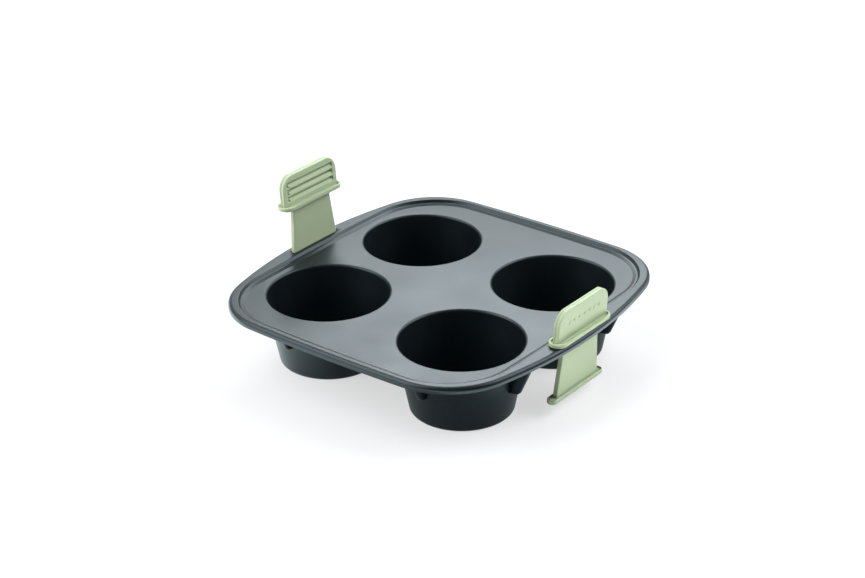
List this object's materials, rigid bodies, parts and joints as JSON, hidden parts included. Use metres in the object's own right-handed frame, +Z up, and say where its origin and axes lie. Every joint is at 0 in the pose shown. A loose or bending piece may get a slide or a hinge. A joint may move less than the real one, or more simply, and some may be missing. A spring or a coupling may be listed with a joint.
{
  "type": "silicone muffin mould",
  "caption": "Square muffin mould with round flared cups under a raised, rounded rim, and two flat grips on straps that slide up through slots in the rim.",
  "frame": {"origin": "on the table, under the middle of the mould", "axes": "+Z up; +X from the raised rear handle to the lowered front handle; +Y towards the back, along the sides without handles"},
  "size_m": [0.2033, 0.2034, 0.0903],
  "materials": {
    "mould_silicone": "semi-matt, moulded",
    "handle_silicone": "matt, moulded"
  },
  "bodies": {
    "mould": {"silicone_mould": "mould_silicone"},
    "front_handle": {"front_handle": "handle_silicone"},
    "rear_handle": {"rear_handle": "handle_silicone"}
  },
  "joints": [
    {"name": "front_handle_slide", "type": "slide", "parent": "mould", "child": "front_handle", "axis": [0.0732, 0, 0.9973], "range_m": [0, 0.02727]},
    {"name": "rear_handle_slide", "type": "slide", "parent": "mould", "child": "rear_handle", "axis": [-0.0732, 0, 0.9973], "range_m": [-0.02727, 0]}
  ]
}
